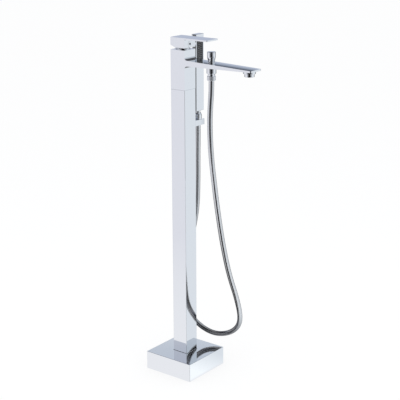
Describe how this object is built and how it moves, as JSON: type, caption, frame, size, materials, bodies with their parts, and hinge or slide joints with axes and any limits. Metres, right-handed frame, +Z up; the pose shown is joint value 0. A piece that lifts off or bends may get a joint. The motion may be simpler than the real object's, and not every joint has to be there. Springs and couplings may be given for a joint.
{
  "type": "floor standing bath filler",
  "caption": "Square-column floor standing bath filler with a flat spout, lever mixer, pull-up diverter and a hand shower on a flexible hose.",
  "frame": {"origin": "centre of the foot, on the floor", "axes": "+X along the spout, +Y towards the hand shower, +Z up the column"},
  "size_m": [0.303, 0.1938, 0.911],
  "materials": {
    "chrome": "polished chrome plate on brass",
    "cast_brass": "machined brass",
    "plate_steel": "brushed stainless steel",
    "screw_steel": "plain stainless steel",
    "braided_hose": "braided stainless steel over rubber",
    "hose_metal": "chromed interlocked metal hose",
    "rubber": "black rubber",
    "nozzle_rubber": "soft grey silicone",
    "face_plate": "near black moulded plastic",
    "grey_plastic": "pale moulded plastic",
    "ceramic": "polished ceramic"
  },
  "bodies": {
    "root": {"floor_flange": "plate_steel", "socket_screws": "screw_steel", "column_tube": "chrome", "inlet_block": "cast_brass", "hot_lower_tail": "cast_brass", "hot_supply_hose": "braided_hose", "hot_upper_tail": "cast_brass", "cold_lower_tail": "cast_brass", "cold_supply_hose": "braided_hose", "cold_upper_tail": "cast_brass", "joining_sleeve": "plate_steel", "sleeve_screws": "screw_steel", "mixer_body": "chrome", "aerator_housing": "chrome", "aerator_insert": "grey_plastic", "aerator_washer": "rubber", "cartridge_seals": "rubber", "cartridge_base": "grey_plastic", "fixed_disc": "ceramic", "cartridge_housing": "grey_plastic", "cartridge_nut": "cast_brass", "cartridge_cap": "chrome", "diverter_bush": "chrome", "shower_outlet": "chrome", "outlet_hose_nut": "chrome", "outlet_washer": "rubber", "holder_bracket": "chrome", "holder_screws": "screw_steel", "shower_hose": "hose_metal"},
    "base_cover": {"base_cover": "chrome", "cover_grommet": "rubber"},
    "temperature": {"moving_disc": "ceramic", "cartridge_carrier": "grey_plastic", "stem_pin": "screw_steel"},
    "handle": {"cartridge_stem": "screw_steel", "lever_handle": "chrome", "handle_screw": "screw_steel", "handle_bezel": "chrome"},
    "diverter": {"diverter_knob": "chrome", "diverter_stem": "cast_brass", "diverter_washer": "rubber"},
    "hose_end": {"handset_hose_nut": "chrome", "handset_washer": "rubber"},
    "handset": {"handset_body": "chrome", "nozzle_plate": "face_plate", "spray_nozzles": "nozzle_rubber", "handset_neck": "chrome"}
  },
  "joints": [
    {"name": "base_cover_lift", "type": "slide", "parent": "root", "child": "base_cover", "axis": [0, 0, 1], "range_m": [0, 0.035]},
    {"name": "temperature_turn", "type": "hinge", "parent": "root", "child": "temperature", "pos_m": [0, 0, 0.8735], "axis": [0, 0, 1], "range_deg": [-45, 45]},
    {"name": "flow_lift", "type": "hinge", "parent": "temperature", "child": "handle", "pos_m": [0, 0, 0.8735], "axis": [0, -1, 0], "range_deg": [0, 25]},
    {"name": "diverter_pull", "type": "slide", "parent": "root", "child": "diverter", "axis": [0, 0, 1], "range_m": [0, 0.009]},
    {"name": "handset_lift", "type": "slide", "parent": "root", "child": "hose_end", "axis": [0, 0, 1], "range_m": [0, 0.06], "deforming": ["shower_hose"]},
    {"name": "handset_swivel", "type": "hinge", "parent": "hose_end", "child": "handset", "pos_m": [0, 0.061, 0.7], "axis": [0, 0, 1], "continuous": true}
  ]
}
